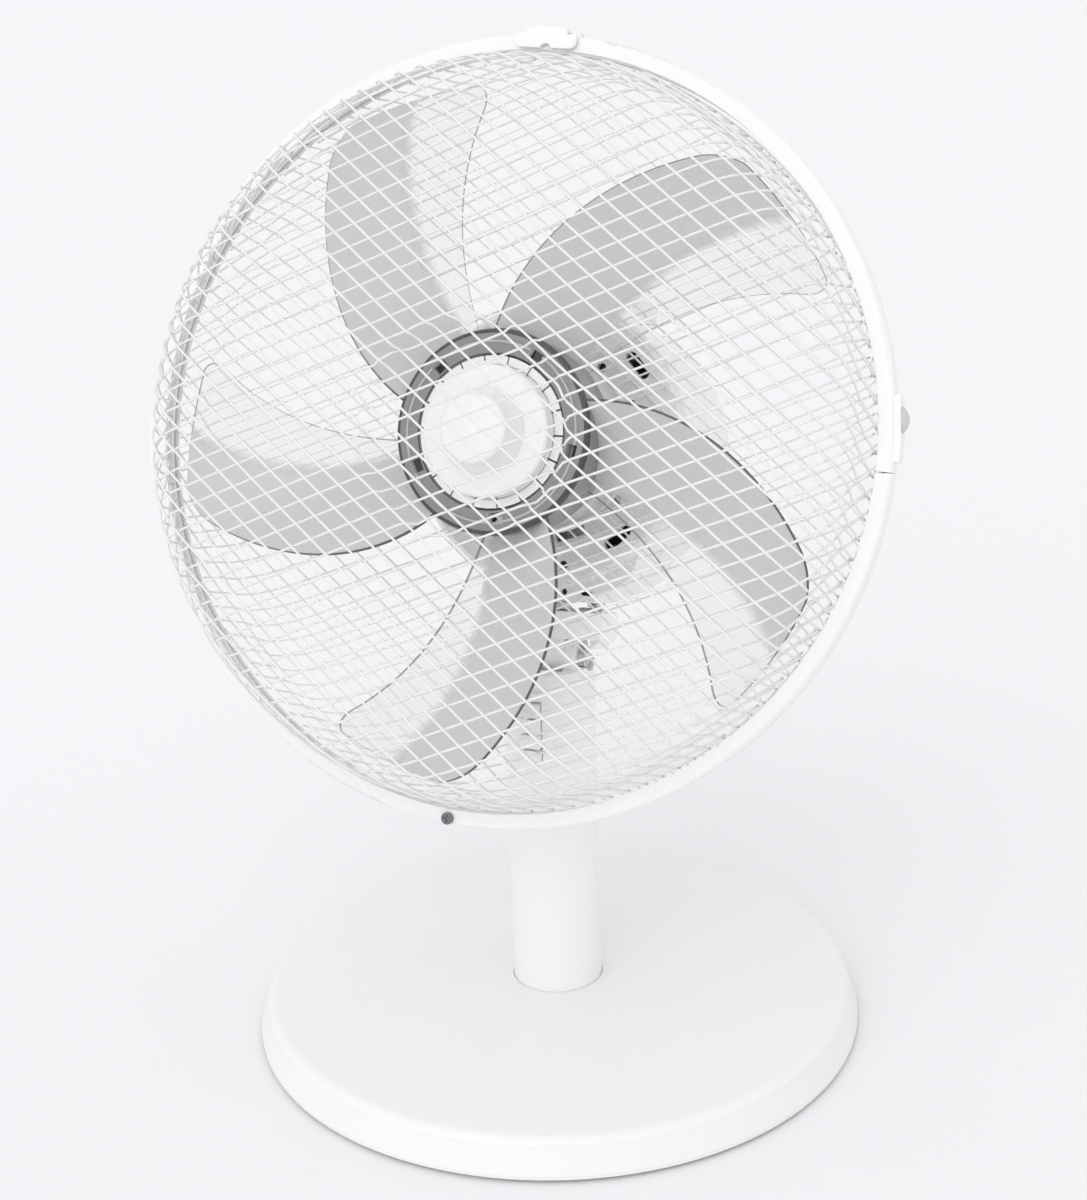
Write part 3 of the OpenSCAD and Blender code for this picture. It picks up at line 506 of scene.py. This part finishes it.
def blade_point(r, u):
    """Mid-surface point: u runs from 0 at the front edge to 1 at the rear edge."""
    span = (r - HUB_R) / (TIP_R - HUB_R)
    chord = math.radians(front_angle(r) - rear_angle(r)) * r
    q = max(0.0, (r - TIP_R + TIP_ROUND) / TIP_ROUND)
    trim = TIP_ROUND * (1 - math.sqrt(max(0.0, 1 - q * q))) / chord
    u = trim + (1 - 2 * trim) * u
    angle = front_angle(r) + (rear_angle(r) - front_angle(r)) * u
    front, rear = FRONT_EDGE_S - FRONT_EDGE_DROP * span, REAR_EDGE_S + REAR_EDGE_RISE * span
    return angle, front + (rear - front) * (u + CAMBER * u * (1 - u))


def fine_ends(count, edge):
    """Stations from 0 to 1 with two close ones near each end."""
    inner = [edge + (1 - 2 * edge) * i / count for i in range(count + 1)]
    return [0, edge * 0.4, *inner, 1 - edge * 0.4, 1]


def build_blade(index):
    verts, faces, glint_fade, rim = [], [], [], []
    root, tip = HUB_R - 2.5, TIP_R - 0.2
    rings = 40
    radii = [root + (tip - root) * math.sin(math.pi / 2 * i / rings) for i in range(rings)] + [tip]
    stations = fine_ends(26, 0.018)
    row = len(stations)
    for i, r in enumerate(radii):
        fade = SOLID_ROOT - SOLID_LOSS * (r - HUB_R) / (TIP_R - HUB_R)
        for j, u in enumerate(stations):
            angle, s = blade_point(r, u)
            verts.append(polar_point(r, angle + 360 * index / BLADES, s))
            # painted highlight: past the fade line the blade turns see-through
            soft = (fade + FADE_WIDTH / 2 - u) / FADE_WIDTH
            glint_fade.append(max(0.0, min(1.0, soft)))
            # painted shade: the outline vertices get the dark mark
            rim.append(1.0 if j in (0, row - 1) or i == len(radii) - 1 else 0.0)
    for i in range(len(radii) - 1):
        for j in range(row - 1):
            a = i * row + j
            faces.append((a, a + 1, a + row + 1, a + row))
    blade = add_object(f"impeller_blade_{index + 1}", verts, faces)
    for key, values in (("blade_glint_fade", glint_fade), ("blade_outline_shade", rim)):
        layer = blade.data.attributes.new(key, "FLOAT", "POINT")
        layer.data.foreach_set("value", values)
    solid = blade.modifiers.new("solid", "SOLIDIFY")
    solid.thickness = BLADE_T * MM
    solid.offset = 0
    apply_modifiers(blade)
    smooth_by_angle(blade, 50)
    return place(blade, "rotor_set", "impeller_plastic", materials["impeller_plastic"], "impeller")


def box_on_hub(verts, faces, angle, r0, r1, half_width, s0, s1):
    first = len(verts)
    a = math.radians(angle)
    for s in (s0, s1):
        for r, w in ((r0, -half_width), (r1, -half_width), (r1, half_width), (r0, half_width)):
            x, y = r * math.cos(a) - w * math.sin(a), r * math.sin(a) + w * math.cos(a)
            verts.append(head_point(x, y, s))
    for quad in ((0, 3, 2, 1), (4, 5, 6, 7), (0, 1, 5, 4), (1, 2, 6, 5), (2, 3, 7, 6), (3, 0, 4, 7)):
        faces.append(tuple(first + k for k in quad))


def add_spokes(name, count, start, *size):
    """Even spokes about the fan axis. size: inner and outer radius, half width, and s from and to."""
    verts, faces = [], []
    for k in range(count):
        box_on_hub(verts, faces, start + 360 * k / count, *size)
    return add_object(name, verts, faces, smooth=False)


FLOOR_ZONE, FACE_ZONE, GLINT_ZONE, SHADE_ZONE = range(4)


def build_hub_shell():
    # outline points, each with the zone of the surface that runs on from it
    section = [
        (BORE_R, CUP_S, FLOOR_ZONE), (34, CUP_S, FLOOR_ZONE),
        # painted shade: the near-black zone on the lip of the cup
        (34, HUB_FRONT - 1.2, SHADE_ZONE), (34.5, HUB_FRONT - 0.7, FACE_ZONE),
        # painted highlight: the step ring from 39 to 40.2 takes a lighter tone than the face
        (39.0, HUB_FRONT - 0.7, GLINT_ZONE), (39.2, HUB_FRONT - 0.1, GLINT_ZONE),
        (40.0, HUB_FRONT - 0.1, GLINT_ZONE), (40.2, HUB_FRONT - 0.8, FACE_ZONE),
        # painted shade: the near-black outer bevel
        (43.2, HUB_FRONT - 0.8, SHADE_ZONE), (44.8, HUB_FRONT - 1.6, SHADE_ZONE),
        (HUB_R, HUB_FRONT - 3.2, FACE_ZONE), (HUB_R - 1.5, HUB_REAR, FACE_ZONE),
        (HUB_R - 4, HUB_REAR, FACE_ZONE), (HUB_R - 4, 58, FACE_ZONE),
        (36, 58, FACE_ZONE), (36, CUP_S - 3, FACE_ZONE), (BORE_R, CUP_S - 3, FACE_ZONE)]
    outline = [(r, s) for r, s, zone in section]
    hub = add_turned("impeller_hub", outline, zones=[zone for r, s, zone in section])
    cutter = add_spokes("notch_cutter", BLADES, NOTCH_START, 35.2, 40.6, 3.4, 54, HUB_FRONT + 4)
    cut = hub.modifiers.new("notches", "BOOLEAN")
    cut.operation = "DIFFERENCE"
    cut.object = cutter
    cut.solver = "EXACT"
    apply_modifiers(hub)
    bpy.data.objects.remove(cutter)
    smooth_by_angle(hub, 30)
    zones = [materials[key] for key in ("hub_floor", "hub_face", "hub_glint_and_shade", "hub_painted_shade")]
    place(hub, "rotor_set", "impeller_plastic", zones, "impeller")


def build_hub_inside():
    # the ribs' grey, darker than the cup floor, is painted shade that draws their shadow lines
    ribs = add_spokes("impeller_ribs", RIBS, 0, 9.2, 34.2, 0.45, CUP_S - 0.5, 59)
    place(ribs, "rotor_set", "impeller_plastic", materials["hub_glint_and_shade"], "impeller")
    webs = add_spokes("impeller_webs", WEBS, 0, 9.2, 42, 0.8, 36, CUP_S - 2.5)
    place(webs, "rotor_set", "impeller_plastic", materials["hub_face"], "impeller")
    outline = [(BORE_R, 34.2), (10, 34.2), (10, 65.2), (9.4, 65.8), (BORE_R, 65.8)]
    core = smooth_by_angle(add_turned("impeller_core", outline, 64))
    place(core, "rotor_set", "impeller_plastic", materials["hub_face"], "impeller")


# Tones of the hub's zones: 0.5 is a painted highlight on the step ring and painted shade on the ribs, 0.07 is
# painted shade on the outer bevel and the cup lip
HUB_TONES = {"hub_floor": 0.8, "hub_face": 0.27, "hub_glint_and_shade": 0.5, "hub_painted_shade": 0.07}
for tone_name, tone in HUB_TONES.items():
    tone_colour = (tone, tone, tone * 1.02)
    materials[tone_name] = moulded(tone_name, tone_colour, rough=0.28, spread=0.04, grain=800)

build_front_mesh()
build_rear_mesh()
for blade_index in range(BLADES):
    build_blade(blade_index)
build_hub_shell()
build_hub_inside()

# ---- Stage, light and camera ----

FLOOR_R = 60.0
CAMERA_AZIMUTH = math.radians(21.376)
CAMERA_PAN = math.radians(0.083)
CAMERA_PITCH = math.radians(18.908)
CAMERA_ROLL = math.radians(1.888)
CAMERA_DISTANCE = 0.866
CAMERA_HEIGHT = 0.5177
CAMERA_LENS = 63.1


def build_floor():
    sides = 64
    turns = [2 * math.pi * k / sides for k in range(sides)]
    verts = [(FLOOR_R * math.cos(a), FLOOR_R * math.sin(a), 0) for a in turns]
    floor = add_object("floor", verts, [tuple(range(sides))], smooth=False)
    s = Shader("floor_paper")
    s.link(s.mix(s.noise(2, 2), (0.87, 0.878, 0.89), (0.875, 0.883, 0.895)), s.bsdf.inputs["Base Color"])
    s.set(Roughness=0.9, Specular_IOR_Level=0.1)
    floor.data.materials.append(s.material)


# Broad soft light that comes from one side; side points from the fan towards it
def add_sun(name, energy, spread_deg, side):
    data = bpy.data.lights.new(name, "SUN")
    data.energy = energy
    data.angle = math.radians(spread_deg)
    light = bpy.data.objects.new(name, data)
    light.rotation_euler = (-Vector(side)).to_track_quat("-Z", "Y").to_euler()
    bpy.context.scene.collection.objects.link(light)


def build_world():
    world = bpy.data.worlds.new("studio")
    world.use_nodes = True
    world.node_tree.nodes["Background"].inputs["Color"].default_value = (0.985, 0.99, 1.0, 1)
    world.node_tree.nodes["Background"].inputs["Strength"].default_value = 0.915
    bpy.context.scene.world = world


def build_camera():
    heading = CAMERA_AZIMUTH + CAMERA_PAN
    level = Vector((math.cos(heading), math.sin(heading), 0))
    behind = Vector((math.sin(heading), -math.cos(heading), 0))
    back = behind * math.cos(CAMERA_PITCH) + Vector((0, 0, math.sin(CAMERA_PITCH)))
    upright = back.cross(level)
    right = level * math.cos(CAMERA_ROLL) - upright * math.sin(CAMERA_ROLL)
    up = level * math.sin(CAMERA_ROLL) + upright * math.cos(CAMERA_ROLL)
    data = bpy.data.cameras.new("camera")
    data.sensor_fit = "HORIZONTAL"
    data.sensor_width = 36
    data.lens = CAMERA_LENS
    data.clip_end = 200
    camera = bpy.data.objects.new("camera", data)
    turn = Matrix((right, up, back)).transposed().to_4x4()
    east, south = math.sin(CAMERA_AZIMUTH), math.cos(CAMERA_AZIMUTH)
    spot = Vector((CAMERA_DISTANCE * east, -CAMERA_DISTANCE * south, CAMERA_HEIGHT))
    camera.matrix_world = Matrix.Translation(spot) @ turn
    bpy.context.scene.collection.objects.link(camera)
    bpy.context.scene.camera = camera


build_floor()
build_world()
add_sun("key", 0.72, 55, (-0.05, -1.0, 0.8))
build_camera()
bpy.context.scene.view_settings.view_transform = "Standard"
bpy.context.scene.view_settings.look = "None"
